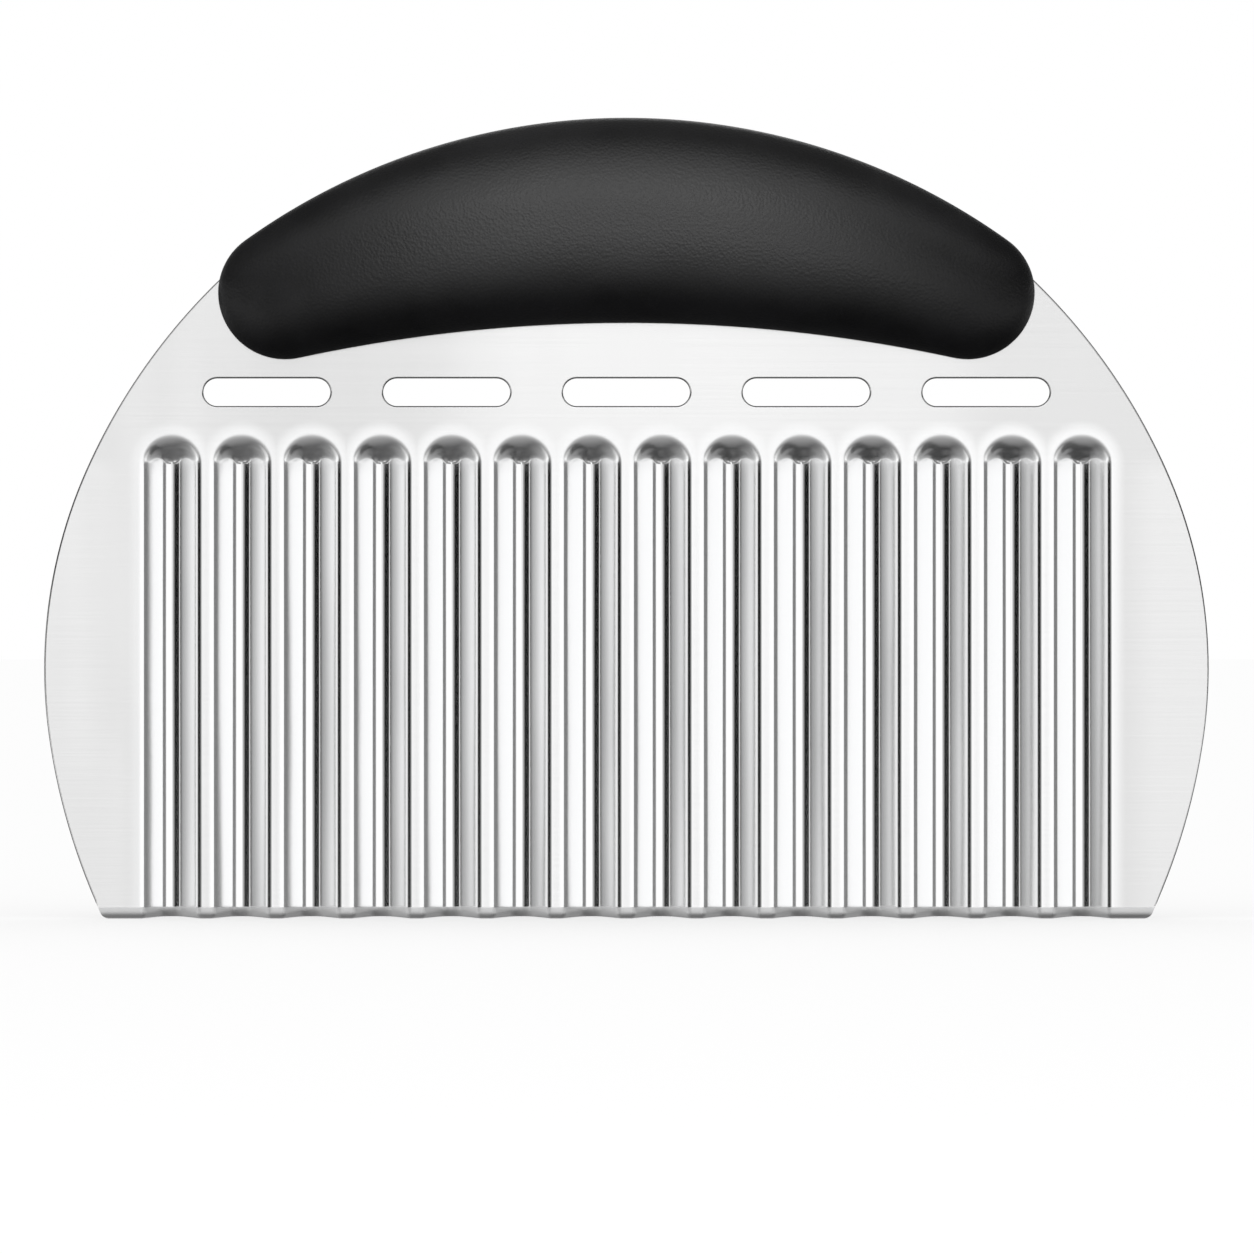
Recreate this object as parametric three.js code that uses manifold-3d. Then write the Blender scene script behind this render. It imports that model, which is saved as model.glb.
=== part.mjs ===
// Crinkle cutter: a half-moon sheet-steel blade with pressed flutes, held by its tang in an arched handle.
// Millimetres. X runs along the cutting edge, +Y points to the back and +Z up, and the origin is the middle
// of the cutting edge. The flutes are hollow on the front and stand out as ridges at the back.
import * as THREE from 'three';
import { mergeVertices } from 'three/addons/utils/BufferGeometryUtils.js';
import Module from 'manifold-3d';

const wasm = await Module();
wasm.setup();

// Driving dimensions: overall
const bladeWidth = 160;
const overallHeight = 110;

// Driving dimensions: blade sheet and its outline, three tangent arcs on each side
const sheetThickness = 0.9;
const widestLevel = 34.4;
const sideRadius = 67;
const upperRadius = 83.5;
const lowerRadius = 88;
const upperBlend = THREE.MathUtils.degToRad(24);
const lowerBlend = THREE.MathUtils.degToRad(8);
const cornerRadius = 1.3;
const bevelHeight = 1.6;
const edgeThickness = 0.25;

// Driving dimensions: flutes
const flutePitch = 9.62;
const landWidth = 1.12;
const fluteDepth = 2.9;
const rimRadius = 1.8;
const rootRadius = 1.1;
const flutesBelowGrip = 15.4;
const plainEdge = 2;

// Driving dimensions: slots
const slotLength = 17.45;
const slotHeight = 3.8;
const slotBridge = 7.25;
const slotRise = 5.9;
const slotMargin = 8;

// Driving dimensions: grip
const gripHeight = 28.2;
const gripThickness = 22;
const lobeRadius = 9.2;
const lobeDrop = 5;
const tipRadius = 8.8;
const gripEndInset = 1.6;
const skinThickness = 2;
const planFullness = 2.6;
const sectionFullness = 2.4;

// Driving dimensions: tang, core and rivets
const shoulderRise = 2.6;
const shoulderWidth = 10;
const shoulderRadius = 2;
const tangBelowCrown = 6;
const coreWall = 2.4;
const bossWall = 1.6;
const rivetInset = 11.2;
const pinDiameter = 3;
const barrelWall = 0.85;
const headFlange = 1.7;
const headThickness = 1.2;

// Clearances
const fitGap = 0.2;
const partingGap = 0.3;
const skinGap = 0.3;
const pinGap = 0.15;
const pinEndGap = 0.5;

// How finely curves are faceted
const longArcStep = THREE.MathUtils.degToRad(4);
const smallArcStep = THREE.MathUtils.degToRad(22.5);
const archSteps = 12;
const roundSides = 16;
const gripFacets = { stations: 18, sides: 32 };
const coreFacets = { stations: 10, sides: 16 };
const leastFillet = 0.05;

// Points closer than this are one point
const samePlace = 1e-5;
const samePlaceDigits = 4;

// Steel, soft skin, core and rivet materials
const steel = { color: 0xc8cbcf, roughness: 0.3, metalness: 1 };
const softBlack = { color: 0x1b1b1c, roughness: 0.65, metalness: 0 };
const corePlastic = { color: 0x3a3a3c, roughness: 0.5, metalness: 0 };
const rivetMetal = { color: 0xb9bbbe, roughness: 0.4, metalness: 1 };

// Levels that follow from the driving dimensions
const bellyLevel = overallHeight - gripHeight;
const endLevel = bellyLevel + lobeRadius - lobeDrop;
const shoulderLevel = endLevel + shoulderRise;
const fluteTop = bellyLevel - flutesBelowGrip;
const slotLevel = fluteTop + slotRise;

// Planar helpers. A Vector2 here holds X and Z.

function heading(angle) {
  return new THREE.Vector2(Math.cos(angle), Math.sin(angle));
}

function arc(centre, radius, from, to, step) {
  const count = Math.max(1, Math.ceil(Math.abs(to - from) / step));
  return Array.from({ length: count + 1 }, (_, i) =>
    heading(from + ((to - from) * i) / count).multiplyScalar(radius).add(centre),
  );
}

// The centre of the arc that takes over from another one, tangent to it, at an angle.
function nextCentre(centre, radius, nextRadius, angle) {
  return heading(angle).multiplyScalar(radius - nextRadius).add(centre);
}

// The centre of a small circle at a level that touches a large arc from inside, on its right.
function nestedCentre(centre, radius, smallRadius, level) {
  const reach = Math.sqrt((radius - smallRadius) ** 2 - (level - centre.y) ** 2);
  return new THREE.Vector2(centre.x + reach, level);
}

function mirrored(points) {
  return points.map((p) => new THREE.Vector2(-p.x, p.y)).reverse();
}

function withoutRepeats(points) {
  return points.filter((p, i) => i === 0 || p.distanceTo(points[i - 1]) > samePlace);
}

// Blade outline

const sideCentre = new THREE.Vector2(bladeWidth / 2 - sideRadius, widestLevel);
const upperCentre = nextCentre(sideCentre, sideRadius, upperRadius, upperBlend);
const lowerCentre = nextCentre(sideCentre, sideRadius, lowerRadius, -lowerBlend);
const cornerCentre = nestedCentre(lowerCentre, lowerRadius, cornerRadius, cornerRadius);
const shoulderCentre = nestedCentre(
  upperCentre,
  upperRadius,
  shoulderRadius,
  shoulderLevel - shoulderRadius,
);

// Half the blade's width at a level in its upper arc, where the slots and the handle are.
function upperHalfWidth(level) {
  return upperCentre.x + Math.sqrt(upperRadius ** 2 - (level - upperCentre.y) ** 2);
}

// Grip outline: a crown arc and tip arcs above, a belly arc and end lobes below. The tips and the lobes share
// the level of the grip's ends, and the crown and the belly get the radius that makes them tangent.

const gripHalf = upperHalfWidth(endLevel) - gripEndInset;
const endDrop = overallHeight - endLevel;
const crownRadius = (gripHalf ** 2 + endDrop ** 2 - 2 * tipRadius * gripHalf) / (2 * (endDrop - tipRadius));
const crownCentre = new THREE.Vector2(0, overallHeight - crownRadius);
const lobeX = gripHalf - lobeRadius;
const tipX = gripHalf - tipRadius;
const lobeRise = lobeRadius - lobeDrop;
const bellyRadius = (lobeX ** 2 + lobeRise ** 2 - lobeRadius ** 2) / (2 * lobeDrop);
const bellyCentreLevel = bellyLevel - bellyRadius;

function gripTop(x, inset) {
  const crown = crownRadius - inset;
  const tip = tipRadius - inset;
  const along = Math.abs(x);
  if (along * (crownRadius - tipRadius) <= crown * tipX) {
    return crownCentre.y + Math.sqrt(crown ** 2 - along ** 2);
  }
  return endLevel + Math.sqrt(Math.max(0, tip ** 2 - (along - tipX) ** 2));
}

function gripBottom(x, inset) {
  const belly = bellyRadius + inset;
  const lobe = lobeRadius - inset;
  const along = Math.abs(x);
  if (along * (bellyRadius + lobeRadius) <= belly * lobeX) {
    return bellyCentreLevel + Math.sqrt(belly ** 2 - along ** 2);
  }
  return endLevel - Math.sqrt(Math.max(0, lobe ** 2 - (along - lobeX) ** 2));
}

// Half the thickness of the grip's form, inset from the outside, at the middle of its height.
function planHalf(x, inset) {
  const share = Math.abs(x) / (gripHalf - inset);
  return (gripThickness / 2 - inset) * (1 - share ** planFullness) ** (1 / planFullness);
}

function gripMiddle(x, inset) {
  return (gripTop(x, inset) + gripBottom(x, inset)) / 2;
}

// Half its thickness at any place.
function gripHalfThickness(x, z, inset) {
  const halfHeight = (gripTop(x, inset) - gripBottom(x, inset)) / 2;
  const share = Math.abs(z - gripMiddle(x, inset)) / halfHeight;
  return planHalf(x, inset) * (1 - share ** sectionFullness) ** (1 / sectionFullness);
}

function signedPower(value, power) {
  return Math.sign(value) * Math.abs(value) ** power;
}

// The grip's closed form, inset from the outside: rounded sections from the left tip to the right one.
function gripForm(inset, { stations, sides }) {
  const half = gripHalf - inset;
  const positions = [];
  const triangles = [];
  const rings = 2 * stations - 1;
  for (let k = 0; k < rings; k++) {
    const x = half * Math.sin((Math.PI / 2) * ((k + 1) / stations - 1));
    const halfHeight = (gripTop(x, inset) - gripBottom(x, inset)) / 2;
    for (let j = 0; j < sides; j++) {
      const angle = (2 * Math.PI * j) / sides;
      const y = planHalf(x, inset) * signedPower(Math.cos(angle), 2 / sectionFullness);
      const z = gripMiddle(x, inset) + halfHeight * signedPower(Math.sin(angle), 2 / sectionFullness);
      positions.push(x, y, z);
    }
  }
  const leftTip = rings * sides;
  const rightTip = leftTip + 1;
  positions.push(-half, 0, endLevel, half, 0, endLevel);
  for (let j = 0; j < sides; j++) {
    const next = (j + 1) % sides;
    const last = (rings - 1) * sides;
    triangles.push(leftTip, next, j, rightTip, last + j, last + next);
    for (let k = 0; k < rings - 1; k++) {
      const here = k * sides;
      const beyond = here + sides;
      triangles.push(here + j, here + next, beyond + next, here + j, beyond + next, beyond + j);
    }
  }
  const geometry = new THREE.BufferGeometry();
  geometry.setAttribute('position', new THREE.Float32BufferAttribute(positions, 3));
  geometry.setIndex(triangles);
  return geometry;
}

// Tang: it steps in from the blade's outline at a shoulder inside the grip's ends, and its top follows the
// crown.

const tangRadius = crownRadius - tangBelowCrown;
const tangHalf = Math.min(
  upperHalfWidth(shoulderLevel) - shoulderWidth,
  Math.sqrt(tangRadius ** 2 - (shoulderLevel - crownCentre.y) ** 2),
);

// The right half of the blade's outline, from the cutting edge up, grown outward by a clearance.
function halfOutline(grow) {
  const cornerEnd = cornerCentre.clone().sub(lowerCentre).angle() - 2 * Math.PI;
  const shoulderStart = shoulderCentre.clone().sub(upperCentre).angle();
  const tangStart = Math.acos((tangHalf + grow) / (tangRadius + grow));
  return withoutRepeats([
    ...arc(cornerCentre, cornerRadius + grow, -Math.PI / 2, cornerEnd, smallArcStep),
    ...arc(lowerCentre, lowerRadius + grow, cornerEnd, -lowerBlend, longArcStep),
    ...arc(sideCentre, sideRadius + grow, -lowerBlend, upperBlend, longArcStep),
    ...arc(upperCentre, upperRadius + grow, upperBlend, shoulderStart, longArcStep),
    ...arc(shoulderCentre, shoulderRadius + grow, shoulderStart, Math.PI / 2, smallArcStep),
    new THREE.Vector2(tangHalf + grow, shoulderLevel + grow),
    ...arc(crownCentre, tangRadius + grow, tangStart, Math.PI / 2, longArcStep),
  ]);
}

// A flat slab with the blade's silhouette, grown by a clearance on every side.
function bladeSlab(grow) {
  const right = halfOutline(grow);
  const depth = sheetThickness + 2 * grow;
  const shape = new THREE.Shape(withoutRepeats([...right, ...mirrored(right)]));
  const geometry = new THREE.ExtrudeGeometry(shape, { depth, bevelEnabled: false });
  return geometry.rotateX(Math.PI / 2).translate(0, depth / 2, 0);
}

// Flutes: round lips, straight walls and round roots, all tangent, with an arched end at the top

const fluteHalf = (flutePitch - landWidth) / 2;
const archLevel = fluteTop - fluteHalf;
// The row keeps the plain edge to the corners of the cutting edge and to the outline beside its arched ends.
const fluteRoom = Math.min(cornerCentre.x, upperHalfWidth(fluteTop)) - plainEdge;
const fluteCount = Math.floor((2 * fluteRoom) / flutePitch);
const fluteCentres = Array.from({ length: fluteCount }, (_, i) => (i - (fluteCount - 1) / 2) * flutePitch);
const front = { rim: rimRadius, root: rootRadius };
const back = { rim: Math.max(leastFillet, rimRadius - sheetThickness), root: rootRadius + sheetThickness };

// The slope of the wall between a rim and a root fillet.
function wallAngle({ rim, root }) {
  const fillets = rim + root;
  const rise = fluteDepth - fillets;
  return Math.atan2(rise, fluteHalf) + Math.asin(Math.min(1, fillets / Math.hypot(fluteHalf, rise)));
}

// How far one face of the sheet is pressed back at a distance from a flute's middle line.
function pressedDepth(distance, { rim, root }) {
  const angle = wallAngle({ rim, root });
  const rimStart = fluteHalf - rim * Math.sin(angle);
  if (distance >= fluteHalf) {
    return 0;
  }
  if (distance >= rimStart) {
    return rim - Math.sqrt(rim ** 2 - (fluteHalf - distance) ** 2);
  }
  if (distance <= root * Math.sin(angle)) {
    return fluteDepth - root + Math.sqrt(root ** 2 - distance ** 2);
  }
  return rim * (1 - Math.cos(angle)) + (rimStart - distance) * Math.tan(angle);
}

// Distances from a flute's middle line where either face changes curve.
const fluteRings = [
  (front.root * Math.sin(wallAngle(front))) / 2,
  front.root * Math.sin(wallAngle(front)),
  back.root * Math.sin(wallAngle(back)),
  fluteHalf - front.rim * Math.sin(wallAngle(front)),
  fluteHalf - back.rim * Math.sin(wallAngle(back)),
  fluteHalf,
].sort((a, b) => a - b);

function fluteDistance(x, z) {
  const across = Math.min(...fluteCentres.map((centre) => Math.abs(x - centre)));
  return Math.hypot(across, Math.max(0, z - archLevel));
}

function backFace(x, z) {
  return sheetThickness / 2 + pressedDepth(fluteDistance(x, z), back);
}

// The ground bevel thins the sheet from the front, down to the cutting edge.
function frontFace(x, z) {
  const whole = pressedDepth(fluteDistance(x, z), front) - sheetThickness / 2;
  const atEdge = backFace(x, z) - edgeThickness;
  return THREE.MathUtils.lerp(atEdge, whole, Math.min(1, z / bevelHeight));
}

// A sheet drawn as a flat mesh in X and Z, then given its front and back faces and walls round every border.
class Sheet {
  constructor() {
    this.points = [];
    this.triangles = [];
    this.known = new Map();
  }

  point(x, z) {
    const key = [x, z].map((v) => (Math.abs(v) < samePlace ? 0 : v).toFixed(samePlaceDigits)).join(' ');
    if (!this.known.has(key)) {
      this.known.set(key, this.points.length);
      this.points.push(new THREE.Vector2(x, z));
    }
    return this.known.get(key);
  }

  triangle(a, b, c) {
    const [p, q, r] = [a, b, c].map((i) => this.points[i]);
    const turn = q.clone().sub(p).cross(r.clone().sub(p));
    this.triangles.push(turn > 0 ? [a, b, c] : [a, c, b]);
  }

  quad(a, b, c, d) {
    this.triangle(a, b, c);
    this.triangle(a, c, d);
  }

  region(contour, holes = []) {
    const all = [...contour, ...holes.flat()].map((p) => this.point(p.x, p.y));
    const faces = THREE.ShapeUtils.triangulateShape(contour, holes);
    faces.forEach((face) => this.triangle(...face.map((i) => all[i])));
  }

  borders() {
    const edges = new Map();
    for (const face of this.triangles) {
      face.forEach((a, i) => edges.set(`${a} ${face[(i + 1) % 3]}`, [a, face[(i + 1) % 3]]));
    }
    return [...edges.values()].filter(([a, b]) => !edges.has(`${b} ${a}`));
  }

  thicken(frontY, backY) {
    const count = this.points.length;
    const faceOf = (y) => this.points.flatMap((p) => [p.x, y(p.x, p.y), p.y]);
    const positions = [...faceOf(frontY), ...faceOf(backY)];
    const fronts = this.triangles.flat();
    const backs = this.triangles.flatMap(([a, b, c]) => [count + a, count + c, count + b]);
    const walls = this.borders().flatMap(([a, b]) => [b, a, count + a, b, count + a, count + b]);
    const geometry = new THREE.BufferGeometry();
    geometry.setAttribute('position', new THREE.Float32BufferAttribute(positions, 3));
    geometry.setIndex([...fronts, ...backs, ...walls]);
    return geometry;
  }
}

function circlePoints(centre, radius) {
  return arc(centre, radius, 0, 2 * Math.PI, (2 * Math.PI) / roundSides).slice(0, -1);
}

function slotPoints(x) {
  const radius = slotHeight / 2;
  const reach = slotLength / 2 - radius;
  const right = new THREE.Vector2(x + reach, slotLevel);
  const left = new THREE.Vector2(x - reach, slotLevel);
  return [
    ...arc(right, radius, -Math.PI / 2, Math.PI / 2, smallArcStep),
    ...arc(left, radius, Math.PI / 2, (3 * Math.PI) / 2, smallArcStep),
  ];
}

function slotCentres() {
  const pitch = slotLength + slotBridge;
  const room = 2 * (upperHalfWidth(slotLevel) - slotMargin) - slotLength;
  const count = Math.floor(room / pitch) + 1;
  return Array.from({ length: count }, (_, i) => (i - (count - 1) / 2) * pitch);
}

// Rivets: a pin in a barrel, with both heads sunk just under the surface of the core

const pinRadius = pinDiameter / 2;
const boreRadius = pinRadius + pinGap;
const barrelRadius = boreRadius + barrelWall;
const headRadius = barrelRadius + headFlange;
const coreInset = skinThickness + skinGap;
const rivetX = tangHalf - rivetInset;

function rivetAt(name, x) {
  const centre = new THREE.Vector2(x, gripMiddle(x, 0));
  const rim = circlePoints(centre, headRadius);
  const face = Math.min(...rim.map((p) => gripHalfThickness(p.x, p.y, coreInset))) - fitGap;
  return { name, centre, face, seat: face - headThickness };
}

const rivets = [rivetAt('left', -rivetX), rivetAt('centre', 0), rivetAt('right', rivetX)];

// A turned piece about the Y axis, from radius and Y pairs.
function turned(profile) {
  return new THREE.LatheGeometry(profile.map(([r, y]) => new THREE.Vector2(r, y)), roundSides);
}

function barrelGeometry({ face, seat }) {
  const tubeEnd = seat - fitGap;
  return turned([
    [0, -face],
    [headRadius, -face],
    [headRadius, -seat],
    [barrelRadius, -seat],
    [barrelRadius, tubeEnd],
    [boreRadius, tubeEnd],
    [boreRadius, -seat],
    [0, -seat],
  ]);
}

function postGeometry({ face, seat }) {
  const pinEnd = pinEndGap - seat;
  return turned([
    [0, pinEnd],
    [pinRadius, pinEnd],
    [pinRadius, seat],
    [headRadius, seat],
    [headRadius, face],
    [0, face],
  ]);
}

// Solids for joining and cutting

function solidOf(geometry) {
  const plain = geometry.clone();
  plain.deleteAttribute('normal');
  plain.deleteAttribute('uv');
  const welded = mergeVertices(plain, samePlace);
  const index = Array.from(welded.index.array);
  const kept = [];
  for (let i = 0; i < index.length; i += 3) {
    const [a, b, c] = index.slice(i, i + 3);
    if (a !== b && b !== c && c !== a) {
      kept.push(a, b, c);
    }
  }
  const vertProperties = new Float32Array(welded.attributes.position.array);
  const mesh = new wasm.Mesh({ numProp: 3, vertProperties, triVerts: new Uint32Array(kept) });
  return new wasm.Manifold(mesh);
}

function geometryOf(solid) {
  const { vertProperties, triVerts } = solid.getMesh();
  const geometry = new THREE.BufferGeometry();
  geometry.setAttribute('position', new THREE.BufferAttribute(new Float32Array(vertProperties), 3));
  geometry.setIndex(new THREE.BufferAttribute(new Uint32Array(triVerts), 1));
  geometry.computeVertexNormals();
  return geometry;
}

function cutFrom(solid, cutters) {
  return cutters.reduce((left, cutter) => left.subtract(cutter), solid);
}

// A round bar along Y at a rivet, between two values of Y.
function barAt({ centre }, radius, fromY, toY) {
  const bar = new THREE.CylinderGeometry(radius, radius, toY - fromY, roundSides);
  return solidOf(bar.translate(centre.x, (fromY + toY) / 2, centre.y));
}

function blockBetween(fromY, toY) {
  const block = new THREE.BoxGeometry(2 * bladeWidth, toY - fromY, 2 * overallHeight);
  return solidOf(block.translate(0, (fromY + toY) / 2, overallHeight / 2));
}

// Blade

function bladeGeometry() {
  const sheet = new Sheet();
  const outline = halfOutline(0);
  const firstAbove = outline.findIndex((p) => p.y > bevelHeight);
  const [under, over] = [outline[firstAbove - 1], outline[firstAbove]];
  const border = under.clone().lerp(over, (bevelHeight - under.y) / (over.y - under.y));
  const below = [...outline.slice(0, firstAbove), border];
  const above = [border, ...outline.slice(firstAbove)];
  const arch = (x) => arc(new THREE.Vector2(x, archLevel), fluteHalf, Math.PI, 0, Math.PI / archSteps);
  const comb = fluteCentres.flatMap((x) => [
    new THREE.Vector2(x - fluteHalf, bevelHeight),
    ...arch(x),
    new THREE.Vector2(x + fluteHalf, bevelHeight),
  ]);
  const holes = [
    ...slotCentres().map(slotPoints),
    ...rivets.map(({ centre }) => circlePoints(centre, barrelRadius + fitGap)),
  ];
  sheet.region(withoutRepeats([...above, ...mirrored(above), ...comb]), holes);
  addPlainEdge(sheet, below);
  fluteCentres.forEach((x) => addFlute(sheet, x));
  return sheet.thicken(frontFace, backFace);
}

// The bevelled strip outside the first and last flutes, and on the lands between the flutes.
function addPlainEdge(sheet, below) {
  const last = fluteCentres[fluteCount - 1] + fluteHalf;
  const strip = [new THREE.Vector2(last, 0), ...below, new THREE.Vector2(last, bevelHeight)];
  sheet.region(strip);
  sheet.region(mirrored(strip));
  for (const x of fluteCentres.slice(0, -1)) {
    const start = x + fluteHalf;
    const end = x + flutePitch - fluteHalf;
    sheet.quad(
      sheet.point(start, 0),
      sheet.point(end, 0),
      sheet.point(end, bevelHeight),
      sheet.point(start, bevelHeight),
    );
  }
}

// One flute: straight from the cutting edge to the arch, then turned through half a circle.
function addFlute(sheet, x) {
  const columns = [...fluteRings.map((ring) => -ring).reverse(), 0, ...fluteRings];
  const rows = [0, bevelHeight, archLevel];
  for (let r = 0; r + 1 < rows.length; r++) {
    for (let c = 0; c + 1 < columns.length; c++) {
      sheet.quad(
        sheet.point(x + columns[c], rows[r]),
        sheet.point(x + columns[c + 1], rows[r]),
        sheet.point(x + columns[c + 1], rows[r + 1]),
        sheet.point(x + columns[c], rows[r + 1]),
      );
    }
  }
  const onArch = (ring, step) => {
    const p = heading((Math.PI * step) / archSteps).multiplyScalar(ring);
    return sheet.point(x + p.x, archLevel + p.y);
  };
  const middle = sheet.point(x, archLevel);
  for (let step = 0; step < archSteps; step++) {
    sheet.triangle(middle, onArch(fluteRings[0], step), onArch(fluteRings[0], step + 1));
    for (let r = 0; r + 1 < fluteRings.length; r++) {
      const [inner, outer] = [fluteRings[r], fluteRings[r + 1]];
      sheet.quad(onArch(inner, step), onArch(outer, step), onArch(outer, step + 1), onArch(inner, step + 1));
    }
  }
}

// Handle core: a hollow shell with a boss round each rivet, parted in the plane of the blade

function coreSolid() {
  const outer = solidOf(gripForm(coreInset, coreFacets));
  const bosses = rivets.map((r) => barAt(r, headRadius + fitGap + bossWall, -gripThickness, gripThickness));
  const pocket = cutFrom(solidOf(gripForm(coreInset + coreWall, coreFacets)), bosses);
  const bores = rivets.map((r) => barAt(r, barrelRadius + fitGap, -gripThickness, gripThickness));
  const sinks = rivets.flatMap((r) => [
    barAt(r, headRadius + fitGap, -gripThickness, fitGap - r.seat),
    barAt(r, headRadius + fitGap, r.seat - fitGap, gripThickness),
  ]);
  return cutFrom(outer, [pocket, solidOf(bladeSlab(fitGap)), ...bores, ...sinks]);
}

// Soft skin: the whole grip with room for the core, and a slit for the blade

function skinSolid() {
  const room = solidOf(gripForm(skinThickness, coreFacets));
  return cutFrom(solidOf(gripForm(0, gripFacets)), [room, solidOf(bladeSlab(skinGap))]);
}

// Scene graph

function piece(name, geometry, material) {
  const mesh = new THREE.Mesh(geometry, new THREE.MeshStandardMaterial(material));
  mesh.name = name;
  return mesh;
}

function rivetGroup(rivet) {
  const group = new THREE.Group();
  group.add(piece(`rivet_barrel_${rivet.name}`, geometryOf(solidOf(barrelGeometry(rivet))), rivetMetal));
  group.add(piece(`rivet_post_${rivet.name}`, geometryOf(solidOf(postGeometry(rivet))), rivetMetal));
  group.position.set(rivet.centre.x, 0, rivet.centre.y);
  return group;
}

function handleGroup() {
  const group = new THREE.Group();
  const core = coreSolid();
  const frontCore = core.subtract(blockBetween(-partingGap / 2, gripThickness));
  const rearCore = core.subtract(blockBetween(-gripThickness, partingGap / 2));
  group.add(piece('core_front', geometryOf(frontCore), corePlastic));
  group.add(piece('core_rear', geometryOf(rearCore), corePlastic));
  group.add(piece('soft_grip', geometryOf(skinSolid()), softBlack));
  rivets.forEach((rivet) => group.add(rivetGroup(rivet)));
  return group;
}

const crinkleCutter = new THREE.Group();
crinkleCutter.name = 'crinkle_cutter';
crinkleCutter.add(piece('blade', geometryOf(solidOf(bladeGeometry())), steel));
crinkleCutter.add(handleGroup());

export default crinkleCutter;
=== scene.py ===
"""Crinkle cutter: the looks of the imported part, and the studio that it stands in.

Metres, in the part's own frame: X runs along the cutting edge, +Y to the back and +Z up. The origin is
the middle of the cutting edge.
"""
import logging
import math
from dataclasses import dataclass
from enum import Enum
from typing import Any, Iterable, Optional, Union

import bmesh
import bpy
from mathutils import Matrix, Vector


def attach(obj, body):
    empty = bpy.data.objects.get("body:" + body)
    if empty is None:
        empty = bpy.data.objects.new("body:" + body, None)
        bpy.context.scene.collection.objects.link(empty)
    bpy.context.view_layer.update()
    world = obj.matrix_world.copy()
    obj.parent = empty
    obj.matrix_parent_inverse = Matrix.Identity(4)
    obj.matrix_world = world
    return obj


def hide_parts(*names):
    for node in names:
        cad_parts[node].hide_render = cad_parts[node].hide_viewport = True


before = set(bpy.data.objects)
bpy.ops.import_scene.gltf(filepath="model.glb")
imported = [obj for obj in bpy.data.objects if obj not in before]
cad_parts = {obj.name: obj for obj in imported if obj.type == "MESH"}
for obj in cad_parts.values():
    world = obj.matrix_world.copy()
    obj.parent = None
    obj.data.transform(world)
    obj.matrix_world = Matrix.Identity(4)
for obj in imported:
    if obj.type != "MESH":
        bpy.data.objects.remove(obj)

LOG = logging.getLogger("crinkle_cutter")
MM = 0.001
SAME_PLACE = 2e-6

Triple = tuple[float, float, float]
Colour = Triple
Value = Union["Signal", float]
Stops = tuple[tuple[float, float], ...]


class Slot(Enum):
    """The record's material slots of the pieces that the scene makes anew, which the scene doesn't give
    them.
    """

    BLADE = "blade_steel"
    SKIN = "grip_skin"


class Signal:
    """A shader value that takes part in Python expressions."""

    def __init__(self, shader: "Shader", socket: bpy.types.NodeSocket) -> None:
        """Wraps an output socket of one of the shader's nodes."""
        self.shader = shader
        self.socket = socket

    def __add__(self, other: Value) -> "Signal":
        """Adds a value."""
        return self.shader.math("ADD", self, other)

    __radd__ = __add__

    def __sub__(self, other: Value) -> "Signal":
        """Takes a value away."""
        return self.shader.math("SUBTRACT", self, other)

    def __rsub__(self, other: Value) -> "Signal":
        """Takes this signal away from a value."""
        return self.shader.math("SUBTRACT", other, self)

    def __mul__(self, other: Value) -> "Signal":
        """Multiplies by a value."""
        return self.shader.math("MULTIPLY", self, other)

    __rmul__ = __mul__

    def __abs__(self) -> "Signal":
        """Drops the sign."""
        return self.shader.math("ABSOLUTE", self)


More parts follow.
